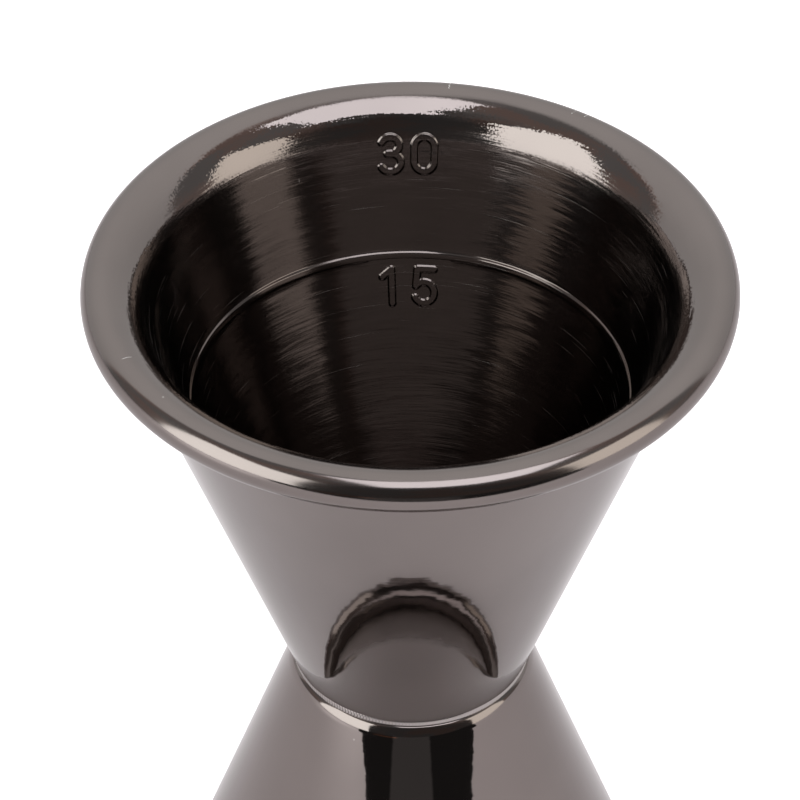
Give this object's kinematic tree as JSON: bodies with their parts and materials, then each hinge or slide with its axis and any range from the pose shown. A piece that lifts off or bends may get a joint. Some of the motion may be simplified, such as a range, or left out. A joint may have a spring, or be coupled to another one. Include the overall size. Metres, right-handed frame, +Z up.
{
  "type": "bar jigger",
  "caption": "Double-ended conical spirit measure with double walls, rolled rims, raised fill lines and a welded narrow waist.",
  "frame": {"origin": "centre of the large cup's rim, on the surface that the jigger stands on", "axes": "+Z up the common axis of both cups, from the large cup's rim to the small cup's rim"},
  "size_m": [0.0582, 0.0582, 0.0889],
  "materials": {
    "gunmetal_brushed": "gunmetal plated stainless steel, rim polished, inside turned with fine brush lines round the wall",
    "gunmetal_polished": "gunmetal plated stainless steel, mirror polished",
    "gunmetal_weld": "gunmetal plated laser weld with fine ripples"
  },
  "bodies": {
    "root": {"upper_measuring_cup": "gunmetal_brushed", "upper_outer_cone": "gunmetal_polished", "lower_measuring_cup": "gunmetal_brushed", "lower_outer_cone": "gunmetal_polished", "waist_weld": "gunmetal_weld"}
  },
  "joints": []
}
